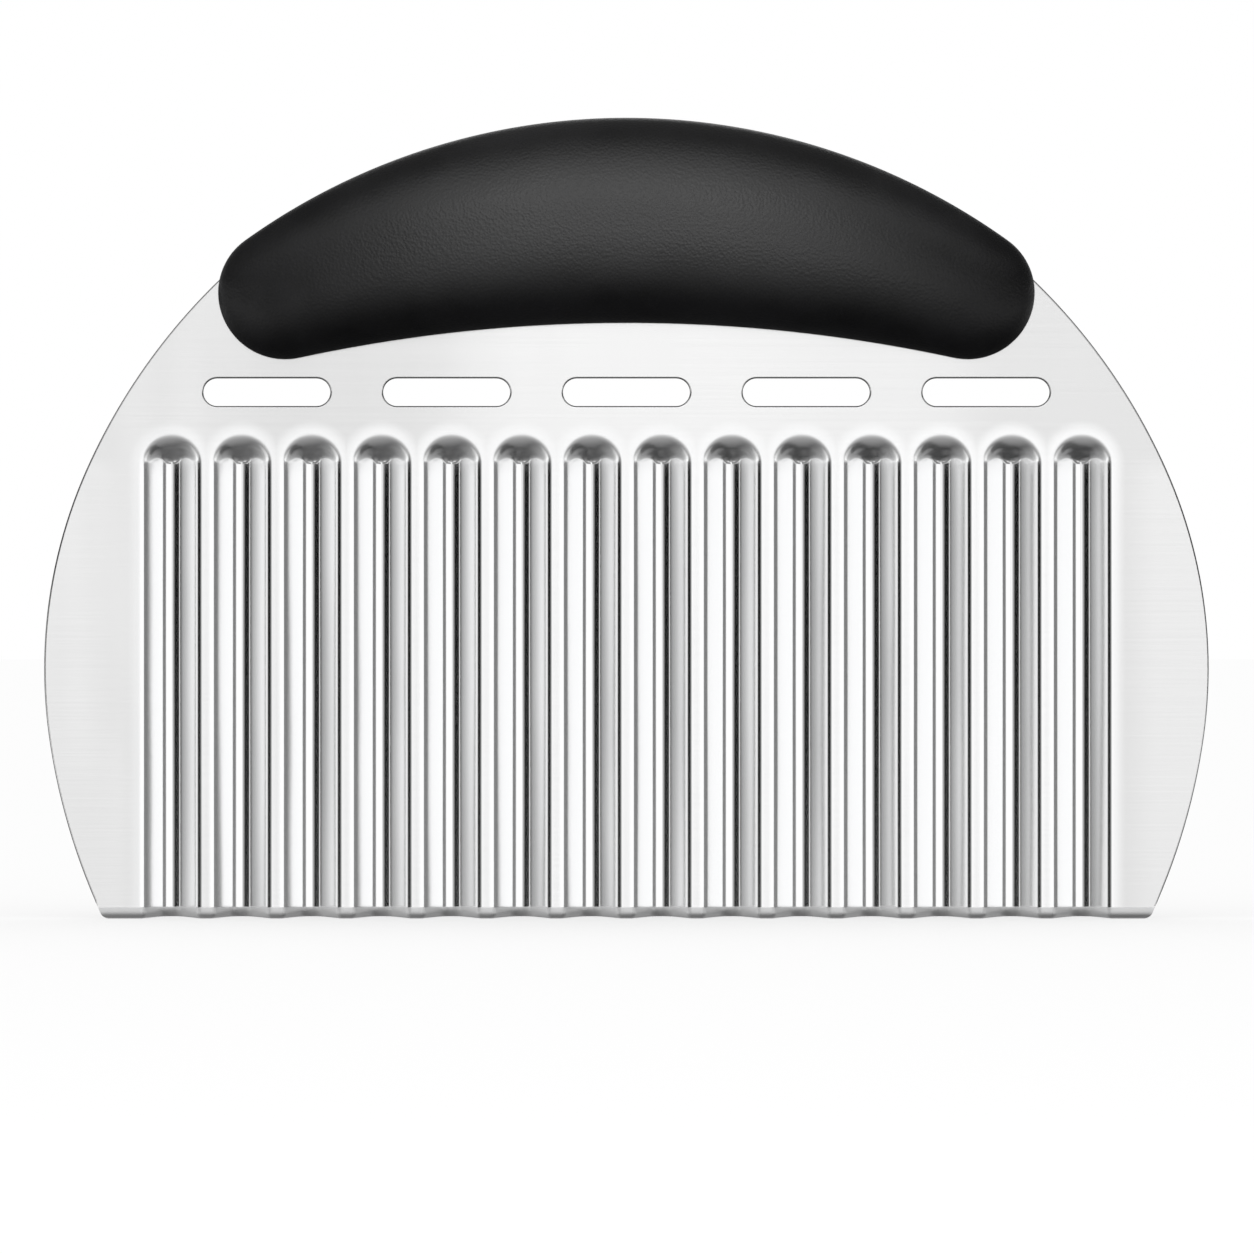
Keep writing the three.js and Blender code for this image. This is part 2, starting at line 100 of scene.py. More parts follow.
class Shader:
    """The node tree of one material or world."""

    def __init__(self, tree: bpy.types.NodeTree) -> None:
        """Starts from an empty tree."""
        tree.nodes.clear()
        self.tree = tree

    def add(
        self,
        kind: str,
        settings: Optional[dict[str, Any]] = None,
        inputs: Optional[dict[Union[str, int], Any]] = None,
    ) -> bpy.types.Node:
        """Adds a node.

        Args:
            kind: the node's type.
            settings: the node's own options, which are set first.
            inputs: a value or a signal for each input, by name or by number.

        Returns:
            The new node.
        """
        node = self.tree.nodes.new(kind)
        for name, value in (settings or {}).items():
            if name == "stops":
                self.set_stops(node.color_ramp, value)
            else:
                setattr(node, name, value)
        for key, value in (inputs or {}).items():
            socket = self.input_of(node, key)
            if isinstance(value, Signal):
                self.tree.links.new(value.socket, socket)
            else:
                socket.default_value = value
        return node

    @staticmethod
    def set_stops(ramp: bpy.types.ColorRamp, stops: list[tuple[float, Colour]]) -> None:
        """Gives a colour ramp its stops."""
        while len(ramp.elements) < len(stops):
            ramp.elements.new(1.0)
        for element, (position, colour) in zip(ramp.elements, stops):
            element.position = position
            element.color = (*colour, 1.0)

    @staticmethod
    def input_of(node: bpy.types.Node, key: Union[str, int]) -> bpy.types.NodeSocket:
        """Finds the input in use that has a name or a number."""
        if isinstance(key, int):
            return node.inputs[key]
        return next(s for s in node.inputs if s.name == key and s.enabled)

    def out(self, node: bpy.types.Node, name: str) -> Signal:
        """Wraps the output in use that has a name."""
        return Signal(self, next(s for s in node.outputs if s.name == name and s.enabled))

    def math(self, operation: str, *values: Value) -> Signal:
        """Adds a Math node for values and signals."""
        node = self.add("ShaderNodeMath", {"operation": operation}, dict(enumerate(values)))
        return self.out(node, "Value")

    def object_point(self) -> Signal:
        """The place on the piece, in metres."""
        return self.out(self.add("ShaderNodeTexCoord"), "Object")

    def object_normal(self) -> Signal:
        """The direction that the piece's surface faces."""
        return self.out(self.add("ShaderNodeTexCoord"), "Normal")

    def parts_of(self, vector: Signal) -> tuple[Signal, Signal, Signal]:
        """The X, Y and Z of a vector."""
        node = self.add("ShaderNodeSeparateXYZ", None, {"Vector": vector})
        return self.out(node, "X"), self.out(node, "Y"), self.out(node, "Z")

    def stretched(self, vector: Signal, repeats: Triple, shift: Triple = (0.0, 0.0, 0.0)) -> Signal:
        """Scales a place, in repeats per metre along each axis, and shifts the result."""
        inputs = {0: vector, 1: repeats, 2: shift}
        node = self.add("ShaderNodeVectorMath", {"operation": "MULTIPLY_ADD"}, inputs)
        return self.out(node, "Vector")

    def noise(self, vector: Signal, detail: float, roughness: float) -> Signal:
        """Soft noise from 0 to 1 over a scaled place."""
        inputs = {"Vector": vector, "Scale": 1.0, "Detail": detail, "Roughness": roughness}
        return self.out(self.add("ShaderNodeTexNoise", None, inputs), "Fac")

    def cells(self, vector: Signal, scale: float, smoothness: float) -> Signal:
        """Distance to the nearest of many scattered points."""
        settings = {"feature": "SMOOTH_F1"}
        inputs = {"Vector": vector, "Scale": scale, "Smoothness": smoothness}
        return self.out(self.add("ShaderNodeTexVoronoi", settings, inputs), "Distance")

    def eased(
        self, value: Signal, start: float, end: float, low: float = 0.0, high: float = 1.0
    ) -> Signal:
        """Goes smoothly from low to high as a value goes from start to end."""
        inputs = {"Value": value, "From Min": start, "From Max": end, "To Min": low, "To Max": high}
        node = self.add("ShaderNodeMapRange", {"interpolation_type": "SMOOTHSTEP"}, inputs)
        return self.out(node, "Result")

    def greys(self, value: Signal, stops: Stops, start: float, end: float) -> Signal:
        """Looks a grey up along a row of stops.

        Args:
            value: the value to look up.
            stops: pairs of a value and the grey there.
            start: the least value.
            end: the greatest value.

        Returns:
            The grey, as a colour.
        """
        span = end - start
        shares = [((place - start) / span, (grey, grey, grey)) for place, grey in stops]
        node = self.add("ShaderNodeValToRGB", {"stops": shares}, {"Fac": (value - start) * (1 / span)})
        return self.out(node, "Color")

    def blended(self, share: Value, first: Colour, second: Colour) -> Signal:
        """Mixes two colours."""
        inputs = {"Factor": share, "A": (*first, 1.0), "B": (*second, 1.0)}
        return self.out(self.add("ShaderNodeMix", {"data_type": "RGBA"}, inputs), "Result")

    def mixed(self, share: Signal, colour: Signal, over: Colour) -> Signal:
        """Mixes a colour over another signal's colour."""
        inputs = {"Factor": share, "A": colour, "B": (*over, 1.0)}
        return self.out(self.add("ShaderNodeMix", {"data_type": "RGBA"}, inputs), "Result")

    def multiplied(self, first: Signal, second: Signal) -> Signal:
        """Multiplies two colours."""
        settings = {"data_type": "RGBA", "blend_type": "MULTIPLY"}
        node = self.add("ShaderNodeMix", settings, {"Factor": 1.0, "A": first, "B": second})
        return self.out(node, "Result")

    def bump(self, height: Signal, distance: float, strength: float = 1.0) -> Signal:
        """Turns a height from 0 to 1 into a surface normal."""
        inputs = {"Height": height, "Distance": distance, "Strength": strength}
        return self.out(self.add("ShaderNodeBump", None, inputs), "Normal")

    def principled(self, inputs: dict[str, Any]) -> Signal:
        """Adds a Principled surface."""
        return self.out(self.add("ShaderNodeBsdfPrincipled", None, inputs), "BSDF")

    def emission(self, colour: Union[Signal, tuple[float, ...]]) -> Signal:
        """Adds a surface that glows."""
        return self.out(self.add("ShaderNodeEmission", None, {"Color": colour}), "Emission")

    def either(self, share: Signal, first: Signal, second: Signal) -> Signal:
        """Mixes two surfaces."""
        node = self.add("ShaderNodeMixShader", None, {0: share, 1: first, 2: second})
        return self.out(node, "Shader")

    def end_in(self, surface: Signal) -> None:
        """Ends the tree in a surface."""
        self.add("ShaderNodeOutputMaterial", None, {"Surface": surface})


@dataclass(frozen=True)
class Finish:
    """A named surface finish. Each kind writes its own nodes."""

    name: str

    def material(self) -> bpy.types.Material:
        """Makes the finish as a material."""
        made = bpy.data.materials.new(self.name)
        made.use_nodes = True
        self.write(Shader(made.node_tree))
        return made

    def write(self, shader: Shader) -> None:
        """Writes the finish's nodes into a shader."""
        raise NotImplementedError


@dataclass(frozen=True)
class BrushedSteel(Finish):
    """Stainless sheet: brushed where it is flat, drawn bright in the flutes, ground along the edge, with
    painted shade on its cut borders and painted highlights round the flutes and in the side margins.

    Repeats are counted in a metre, along each axis.
    """

    flute_pitch: float
    flutes_each_side: int
    flute_half: float
    arch_level: float
    bevel_top: float
    # The width of the painted highlight round each flute.
    highlight_halo: float = 2 * MM
    rim_blend: float = 0.3 * MM
    arch_blend: float = 2 * MM
    margin_glow_blend: float = 6 * MM
    bevel_blend: float = 0.06
    flat_colour: Colour = (0.78, 0.78, 0.78)
    streak_and_glow_colour: Colour = (0.91, 0.91, 0.91)
    # The drawn flutes' own tone, which also paints a highlight halo round each flute.
    flute_and_halo_colour: Colour = (0.96, 0.962, 0.965)
    ground_colour: Colour = (0.97, 0.972, 0.975)
    # Painted shade on the cut borders of the outline and the slots.
    edge_shade_colour: Colour = (0.07, 0.07, 0.072)
    flat_roughness: float = 0.22
    flute_roughness: float = 0.12
    ground_roughness: float = 0.45
    streak_roughness: float = 0.1
    long_repeats: Triple = (14, 14, 2600)
    fine_repeats: Triple = (60, 60, 9000)
    grind_repeats: Triple = (7000, 7000, 120)
    sway_repeats: Triple = (90, 90, 28)
    cloud_repeats: Triple = (26, 26, 3)
    cloud_shift: Triple = (0, 15.625, 0)
    cloud_start: float = 0.36
    cloud_end: float = 0.76
    cloud_share: float = 0.9
    # How much paler the side margins are painted, as a painted highlight.
    margin_glow_share: float = 0.5
    long_share: float = 0.5
    fine_share: float = 0.3
    dark_streaks: float = 0.35
    relief: float = 1 * MM
    streak_relief: float = 0.0016
    sway_relief: float = 0.1
    grind_relief: float = 0.01

    def write(self, shader: Shader) -> None:
        """Writes the brushed, drawn and ground zones."""
        place = shader.object_point()
        x, _, z = shader.parts_of(place)
        gap = self.gap_to_flute(shader, x, z)
        straight = shader.eased(z, self.arch_level + self.arch_blend, self.arch_level - self.arch_blend)
        drawn = shader.eased(gap, self.rim_blend, -self.rim_blend) * straight
        brushed = 1 - drawn
        ground = shader.eased(z, self.bevel_top, self.bevel_top * (1 - self.bevel_blend))
        long_streaks = shader.noise(shader.stretched(place, self.long_repeats), 3, 0.6)
        fine_streaks = shader.noise(shader.stretched(place, self.fine_repeats), 2, 0.5)
        grind = shader.noise(shader.stretched(place, self.grind_repeats), 2, 0.5)
        sway = shader.noise(shader.stretched(place, self.sway_repeats), 1, 0.4)
        streaks = long_streaks * self.long_share + fine_streaks * self.fine_share
        # Besides random clouds and streaks, the side margins are painted paler: a painted highlight.
        pale = self.clouds_and_glow(shader, place, straight) + streaks - self.dark_streaks
        flat = shader.blended(pale, self.flat_colour, self.streak_and_glow_colour)
        # Painted highlight: the flutes' pale tone runs on over a halo round each flute.
        pressed_and_haloed = shader.mixed(shader.eased(gap, self.highlight_halo, 0), flat, self.flute_and_halo_colour)
        polished = shader.mixed(ground, pressed_and_haloed, self.ground_colour)
        # Painted shade: the cut borders of the outline and the slots are darkened, most where they face
        # down.
        colour = shader.mixed(self.cut_border_shade(shader, gap, z), polished, self.edge_shade_colour)
        base = self.flat_roughness * brushed + self.flute_roughness * drawn
        uneven = (fine_streaks - 0.5) * self.streak_roughness * brushed
        roughness = base + uneven + (self.ground_roughness - base) * ground
        height = streaks * brushed * self.streak_relief + sway * self.sway_relief
        normal = shader.bump(height + grind * ground * self.grind_relief, self.relief)
        inputs = {"Base Color": colour, "Metallic": 1.0, "Roughness": roughness, "Normal": normal}
        shader.end_in(shader.principled(inputs))

    def clouds_and_glow(self, shader: Shader, place: Signal, straight: Signal) -> Signal:
        """How pale the flat sheet is over broad stretches, and more so in the side margins beside the
        flutes, where the paleness is a painted highlight.
        """
        x, _, _ = shader.parts_of(place)
        broad = shader.noise(shader.stretched(place, self.cloud_repeats, self.cloud_shift), 1, 0.5)
        row_half = self.flutes_each_side * self.flute_pitch
        margin_glow = shader.eased(abs(x), row_half, row_half + self.margin_glow_blend) * straight
        cloudy = shader.eased(broad, self.cloud_start, self.cloud_end)
        return cloudy * self.cloud_share + margin_glow * self.margin_glow_share

    def cut_border_shade(self, shader: Shader, gap: Signal, z: Signal) -> Signal:
        """How much painted shade darkens the cut borders: most where they face down, none on the faces and
        the bevel.
        """
        _, facing, up = shader.parts_of(shader.object_normal())
        border = shader.eased(abs(facing), 0.97, 0.7) * shader.eased(gap, 0.2 * MM, 0.6 * MM)
        above = shader.eased(z, self.bevel_top, self.bevel_top * 1.5)
        return border * above * shader.eased(up, 0.5, -0.3, 0.45, 1.0)

    def gap_to_flute(self, shader: Shader, x: Signal, z: Signal) -> Signal:
        """The distance to the rim of the nearest flute, which is below 0 inside the flute."""
        cell = shader.math("FLOOR", x * (1 / self.flute_pitch))
        cell = shader.math("MAXIMUM", cell, -self.flutes_each_side)
        cell = shader.math("MINIMUM", cell, self.flutes_each_side - 1)
        across = x - (cell + 0.5) * self.flute_pitch
        above = shader.math("MAXIMUM", z - self.arch_level, 0)
        return shader.math("SQRT", across * across + above * above) - self.flute_half


@dataclass(frozen=True)
class SoftTouch(Finish):
    """Black elastomer with a fine leathery grain, satin where a palm rubs it, and dull underneath and toward
    the ends, where the cut-down reflection is painted shade.
    """

    colour: Colour = (0.006, 0.006, 0.0065)
    pale_colour: Colour = (0.012, 0.012, 0.013)
    rubbed_roughness: float = 0.36
    rubbed_shine: float = 0.95
    dull_roughness: float = 0.7
    dull_shine: float = 0.1
    # How much the ends are dulled, as painted shade.
    dull_shaded_ends: float = 0.75
    grain_repeats: float = 2600.0
    grain_depth: float = 0.07 * MM
    pore_repeats: Triple = (4200, 4200, 4200)
    cloud_repeats: Triple = (70, 70, 70)
    end_dulling_start: float = 10 * MM
    end_dulling_end: float = 56 * MM

    def write(self, shader: Shader) -> None:
        """Writes the grain and the slight unevenness of the skin."""
        place = shader.object_point()
        grain = shader.cells(place, self.grain_repeats, 0.6)
        pores = shader.noise(shader.stretched(place, self.pore_repeats), 2, 0.6)
        cloudy = shader.noise(shader.stretched(place, self.cloud_repeats), 3, 0.55)
        colour = shader.blended(shader.eased(cloudy, 0.35, 0.7), self.colour, self.pale_colour)
        roughness = self.rubbed_roughness + (cloudy - 0.5) * 0.16 + (pores - 0.5) * 0.1
        normal = shader.bump(grain * 0.7 + pores * 0.3, self.grain_depth, 0.8)
        skin = {"Base Color": colour, "Normal": normal}
        rubbed = {**skin, "Roughness": roughness, "Specular IOR Level": self.rubbed_shine}
        dull = {**skin, "Roughness": self.dull_roughness, "Specular IOR Level": self.dull_shine}
        unrubbed_and_shaded = self.unrubbed_and_shaded(shader, place)
        # Painted shade: the dull mix has little reflection, underneath and toward the ends.
        shader.end_in(shader.either(unrubbed_and_shaded, shader.principled(rubbed), shader.principled(dull)))

    def unrubbed_and_shaded(self, shader: Shader, place: Signal) -> Signal:
        """How dull the skin is, partly for wear and partly as painted shade: least on top in the middle,
        most underneath and toward the ends.
        """
        along, _, _ = shader.parts_of(place)
        _, _, up = shader.parts_of(shader.object_normal())
        under = shader.eased(up, -0.2, -0.75)
        ends = shader.eased(abs(along), self.end_dulling_start, self.end_dulling_end)
        return 1 - (1 - under) * (1 - ends * self.dull_shaded_ends)


@dataclass(frozen=True)
class MouldedPlastic(Finish):
    """Dark grey moulded plastic with a spark-eroded texture."""

    colour: Colour = (0.04, 0.04, 0.042)
    pale_colour: Colour = (0.055, 0.055, 0.057)
    speckle_repeats: Triple = (3000, 3000, 3000)
    speckle_depth: float = 0.03 * MM

    def write(self, shader: Shader) -> None:
        """Writes the fine eroded texture."""
        speckle = shader.noise(shader.stretched(shader.object_point(), self.speckle_repeats), 2, 0.6)
        colour = shader.blended(speckle, self.colour, self.pale_colour)
        roughness = 0.42 + speckle * 0.2
        normal = shader.bump(speckle, self.speckle_depth, 0.4)
        inputs = {"Base Color": colour, "Roughness": roughness, "Normal": normal}
        shader.end_in(shader.principled(inputs))


@dataclass(frozen=True)
class TurnedAluminium(Finish):
    """Plain aluminium with fine turning lines round the rivet's axis."""

    colour: Colour = (0.66, 0.67, 0.68)
    pale_colour: Colour = (0.76, 0.77, 0.78)
    line_repeats: Triple = (300, 9000, 300)
    line_depth: float = 0.01 * MM

    def write(self, shader: Shader) -> None:
        """Writes the turning lines."""
        lines = shader.noise(shader.stretched(shader.object_point(), self.line_repeats), 2, 0.5)
        colour = shader.blended(lines, self.colour, self.pale_colour)
        roughness = 0.3 + lines * 0.15
        normal = shader.bump(lines, self.line_depth, 0.4)
        inputs = {"Base Color": colour, "Metallic": 1.0, "Roughness": roughness, "Normal": normal}
        shader.end_in(shader.principled(inputs))


@dataclass(frozen=True)
class TentCloth(Finish):
    """A glowing cloth of the light tent.

    Each round stop is an angle in degrees, to the right of the camera as the object sees it, and the
    brightness there. Each outward stop is a distance from the object's axis, and a share of that brightness.
    """

    round_stops: Stops
    outward_stops: Stops = ((0.0, 1.0), (1.0, 1.0))

    def write(self, shader: Shader) -> None:
        """Writes the brightness all the way round and outward."""
        x, y, _ = shader.parts_of(shader.object_point())
        angle = shader.math("DEGREES", shader.math("ARCTAN2", x, 0 - y))
        distance = shader.math("SQRT", x * x + y * y)
        reach = max(place for place, _ in self.outward_stops)
        round_glow = shader.greys(angle, self.round_stops, -180, 180)
        outward_glow = shader.greys(distance, self.outward_stops, 0, reach)
        shader.end_in(shader.emission(shader.multiplied(round_glow, outward_glow)))


@dataclass(frozen=True)
class OverheadCloth(Finish):
    """A level cloth that gets brighter to the front.

    Each stop is a distance in front of the blade, and the brightness there.
    """

    stops: Stops

    def write(self, shader: Shader) -> None:
        """Writes the brightness from the blade to the front."""
        _, y, _ = shader.parts_of(shader.object_point())
        reach = max(distance for distance, _ in self.stops)
        shader.end_in(shader.emission(shader.greys(0 - y, self.stops, 0, reach)))


@dataclass(frozen=True)
class PaleFloor(Finish):
    """Matt pale paper, which the camera sees partly as the white of the background, with the shadow kept."""

    colour: Colour = (0.94, 0.94, 0.94)
    pale_colour: Colour = (0.96, 0.96, 0.96)
    mottle_repeats: Triple = (500, 500, 500)
    white_share: float = 0.6

    def write(self, shader: Shader) -> None:
        """Writes the paper and its white share."""
        mottle = shader.noise(shader.stretched(shader.object_point(), self.mottle_repeats), 2, 0.5)
        colour = shader.blended(mottle, self.colour, self.pale_colour)
        paper = shader.out(shader.add("ShaderNodeBsdfDiffuse", None, {"Color": colour}), "BSDF")
        path = shader.add("ShaderNodeLightPath")
        seen = shader.math("MAXIMUM", shader.out(path, "Is Camera Ray"), shader.out(path, "Is Glossy Ray"))
        seen = shader.math("MAXIMUM", seen, shader.out(path, "Is Transmission Ray"))
        shader.end_in(shader.either(seen * self.white_share, paper, shader.emission((1, 1, 1, 1))))


class Pen:
    """Draws a chain of edges, arc by arc and line by line, in the plane square to its axis."""

    def __init__(self, mesh: bmesh.types.BMesh, start: Vector, axis: Vector) -> None:
        """Sets the pen down at a start point."""
        self.mesh = mesh
        self.axis = axis
        self.start = mesh.verts.new(start)
        self.tip = self.start
        self.edges: list[bmesh.types.BMEdge] = []

    def arc(self, centre: Vector, sweep: float, steps: int) -> None:
        """Turns round a centre.

        Args:
            centre: the arc's centre.
            sweep: the angle to turn, by the right-hand rule about the pen's axis.
            steps: the number of edges.
        """
        before = set(self.mesh.edges)
        geometry = bmesh.ops.spin(
            self.mesh, geom=[self.tip], cent=centre, axis=self.axis, angle=sweep, steps=steps
        )["geom_last"]
        self.tip = next(g for g in geometry if isinstance(g, bmesh.types.BMVert))
        self.edges += [e for e in self.mesh.edges if e not in before]

    def line(self, end: Vector) -> None:
        """Draws a straight edge to a point."""
        made = bmesh.ops.extrude_vert_indiv(self.mesh, verts=[self.tip])
        self.tip = made["verts"][0]
        self.tip.co = end
        self.edges += made["edges"]

    def close(self) -> None:
        """Draws the edge back to the start."""
        self.edges.append(self.mesh.edges.new((self.tip, self.start)))


def verts_of(geometry: Iterable[Any]) -> list[bmesh.types.BMVert]:
    """The vertices in an operator's result."""
    return [g for g in geometry if isinstance(g, bmesh.types.BMVert)]


def edges_of(geometry: Iterable[Any]) -> list[bmesh.types.BMEdge]:
    """The edges in an operator's result."""
    return [g for g in geometry if isinstance(g, bmesh.types.BMEdge)]


def all_of(mesh: bmesh.types.BMesh) -> list[Any]:
    """All that a mesh holds."""
    return mesh.verts[:] + mesh.edges[:] + mesh.faces[:]


def piece_from(mesh: bmesh.types.BMesh, name: str, material: bpy.types.Material) -> bpy.types.Object:
    """Turns a finished mesh into an object in the scene.

    Args:
        mesh: the mesh, which is freed.
        name: the object's name.
        material: its one material.

    Returns:
        The new object, at the origin.
    """
    data = bpy.data.meshes.new(name)
    mesh.to_mesh(data)
    mesh.free()
    data.materials.append(material)
    made = bpy.data.objects.new(name, data)
    bpy.context.scene.collection.objects.link(made)
    return made


@dataclass
class Blade:
    """The half-moon of fluted sheet steel, with its slots, ground edge and tang."""

    width: float = 160 * MM
    sheet: float = 0.9 * MM
    widest_level: float = 34.4 * MM
    side_radius: float = 67 * MM
    upper_radius: float = 83.5 * MM
    lower_radius: float = 88 * MM
    upper_blend: float = math.radians(24)
    lower_blend: float = math.radians(8)
    corner_radius: float = 1.3 * MM
    bevel_height: float = 1.6 * MM
    edge_thickness: float = 0.25 * MM
    bevel_rows: int = 7
    land_bevel_power: float = 5.0
    groove_bevel_power: float = 1.8
    flute_count: int = 14
    flute_pitch: float = 9.62 * MM
    flute_half: float = 4.25 * MM
    flute_depth: float = 2.7 * MM
    flute_top: float = 66.7 * MM
    rim_radius: float = 1.3 * MM
    root_radius: float = 2.15 * MM
    foot_share: float = 0.95
    edge_rise: float = 0.25 * MM
    wall_bow: float = math.radians(1.5)
    lip_radius: float = 3 * MM
    lip_turn: float = math.radians(50)
    lip_blend: float = 0.35 * MM
    scoop_depth: float = 0.55 * MM
    scoop_middle: float = 1.8 * MM
    scoop_half: float = 1.2 * MM
    slot_count: int = 5
    slot_pitch: float = 24.7 * MM
    slot_length: float = 17.45 * MM
    slot_height: float = 3.8 * MM
    slot_level: float = 72.3 * MM
    shoulder_level: float = 88.6 * MM
    shoulder_radius: float = 2 * MM
    tang_radius: float = 83.96 * MM
    tang_level: float = 20.04 * MM
    tang_half: float = 45.04 * MM
    rivet_hole_radius: float = 2.7 * MM
    rivet_places: tuple[tuple[float, float], ...] = (
        (-33.84 * MM, 91.25 * MM),
        (0.0, 95.9 * MM),
        (33.84 * MM, 91.25 * MM),
    )
    border: float = 0.25 * MM
    border_turn: float = math.radians(60)
    edge_round: float = 0.22 * MM
    sharp_turn: float = math.radians(48)
    arch_steps: int = 48
    wall_steps: int = 12
    root_steps: int = 7
    slot_end_steps: int = 16
    rivet_hole_steps: int = 32

    @property
    def front(self) -> float:
        """The flat front face's Y."""
        return -self.sheet / 2

    @property
    def arch_level(self) -> float:
        """The level where the flutes' arched ends begin."""
        return self.flute_top - self.flute_half

    @property
    def wall_angle(self) -> float:
        """The slope of a flute's walls, tangent to its rim and its root."""
        fillets = self.rim_radius + self.root_radius
        rise = self.flute_depth - fillets
        return math.atan2(rise, self.flute_half) + math.asin(fillets / math.hypot(self.flute_half, rise))

    @property
    def flute_centres(self) -> list[float]:
        """The X of each flute's middle line."""
        return [(i - (self.flute_count - 1) / 2) * self.flute_pitch for i in range(self.flute_count)]

    @property
    def slot_centres(self) -> list[float]:
        """The X of each slot's middle."""
        return [(i - (self.slot_count - 1) / 2) * self.slot_pitch for i in range(self.slot_count)]

    def point(self, x: float, z: float) -> Vector:
        """A point on the flat front face."""
        return Vector((x, self.front, z))

    def next_centre(self, centre: Vector, radius: float, next_radius: float, angle: float) -> Vector:
        """The centre of an arc that takes over from another one, tangent to it, at an angle."""
        shift = radius - next_radius
        return centre + Vector((math.cos(angle) * shift, 0, math.sin(angle) * shift))

    def nested_centre(self, centre: Vector, radius: float, small_radius: float, level: float) -> Vector:
        """The centre of a small arc at a level that touches a large one from inside, on its right."""
        reach = math.sqrt((radius - small_radius) ** 2 - (level - centre.z) ** 2)
        return self.point(centre.x + reach, level)

    def build(self, finish: Finish) -> bpy.types.Object:
        """Models the blade and dresses it.

        Args:
            finish: the steel's finish.

        Returns:
            The blade.
        """
        mesh = bmesh.new()
        self.draw_outline(mesh)
        self.draw_comb(mesh)
        self.draw_holes(mesh)
        self.fill_plate(mesh)
        for x in self.flute_centres:
            self.press_flute(mesh, x)
        self.join_front(mesh)
        self.thicken(mesh)
        self.round_borders(mesh)
        self.mark_sharp(mesh)
        return piece_from(mesh, "blade_dressed", finish.material())

    def draw_outline(self, mesh: bmesh.types.BMesh) -> None:
        """Draws the half-moon from the right corner up to the top of the tang, and mirrors it."""
        side = self.point(self.width / 2 - self.side_radius, self.widest_level)
        upper = self.next_centre(side, self.side_radius, self.upper_radius, self.upper_blend)
        lower = self.next_centre(side, self.side_radius, self.lower_radius, -self.lower_blend)
        corner = self.nested_centre(lower, self.lower_radius, self.corner_radius, self.corner_radius)
        shoulder_middle = self.shoulder_level - self.shoulder_radius
        shoulder = self.nested_centre(upper, self.upper_radius, self.shoulder_radius, shoulder_middle)
        corner_end = math.atan2(corner.z - lower.z, corner.x - lower.x)
        shoulder_start = math.atan2(shoulder.z - upper.z, shoulder.x - upper.x)
        tang_start = math.acos(self.tang_half / self.tang_radius)
        tang_foot = self.tang_level + self.tang_radius * math.sin(tang_start)
        pen = Pen(mesh, self.point(corner.x, 0), Vector((0, -1, 0)))
        pen.arc(corner, corner_end + math.pi / 2, 10)
        pen.arc(lower, -self.lower_blend - corner_end, 14)
        pen.arc(side, self.lower_blend + self.upper_blend, 24)
        pen.arc(upper, shoulder_start - self.upper_blend, 24)
        pen.arc(shoulder, math.pi / 2 - shoulder_start, 6)
        pen.line(self.point(self.tang_half, self.shoulder_level))
        pen.line(self.point(self.tang_half, tang_foot))
        pen.arc(self.point(0, self.tang_level), math.pi / 2 - tang_start, 20)
        bmesh.ops.mirror(mesh, geom=all_of(mesh), merge_dist=SAME_PLACE, axis="X")

    def draw_comb(self, mesh: bmesh.types.BMesh) -> None:
        """Draws the lower border, up and down round the flutes, from corner to corner."""
        right = max(v.co.x for v in mesh.verts if abs(v.co.z) < SAME_PLACE)
        pen = Pen(mesh, self.point(-right, 0), Vector((0, -1, 0)))
        for x in self.flute_centres:
            pen.line(self.point(x - self.flute_half, 0))
            pen.line(self.point(x - self.flute_half, self.arch_level))
            pen.arc(self.point(x, self.arch_level), -math.pi, self.arch_steps)
            pen.line(self.point(x + self.flute_half, 0))
        pen.line(self.point(right, 0))

    def draw_holes(self, mesh: bmesh.types.BMesh) -> None:
        """Draws the row of obround slots, and the rivets' holes in the tang."""
        radius = self.slot_height / 2
        reach = self.slot_length / 2 - radius
        for x in self.slot_centres:
            pen = Pen(mesh, self.point(x + reach, self.slot_level - radius), Vector((0, -1, 0)))
            pen.arc(self.point(x + reach, self.slot_level), math.pi, self.slot_end_steps)
            pen.line(self.point(x - reach, self.slot_level + radius))
            pen.arc(self.point(x - reach, self.slot_level), math.pi, self.slot_end_steps)
            pen.close()
        for x, z in self.rivet_places:
            facing = Matrix.Translation(self.point(x, z)) @ Matrix.Rotation(math.pi / 2, 4, "X")
            bmesh.ops.create_circle(
                mesh, segments=self.rivet_hole_steps, radius=self.rivet_hole_radius, matrix=facing
            )

    def fill_plate(self, mesh: bmesh.types.BMesh) -> None:
        """Fills the flat part of the sheet, with a narrow even strip along all its borders."""
        bmesh.ops.remove_doubles(mesh, verts=mesh.verts[:], dist=SAME_PLACE)
        bmesh.ops.triangle_fill(mesh, use_beauty=True, edges=mesh.edges[:], normal=(0, -1, 0))
        bmesh.ops.inset_region(
            mesh, faces=mesh.faces[:], thickness=self.border, use_even_offset=True, use_boundary=True
        )

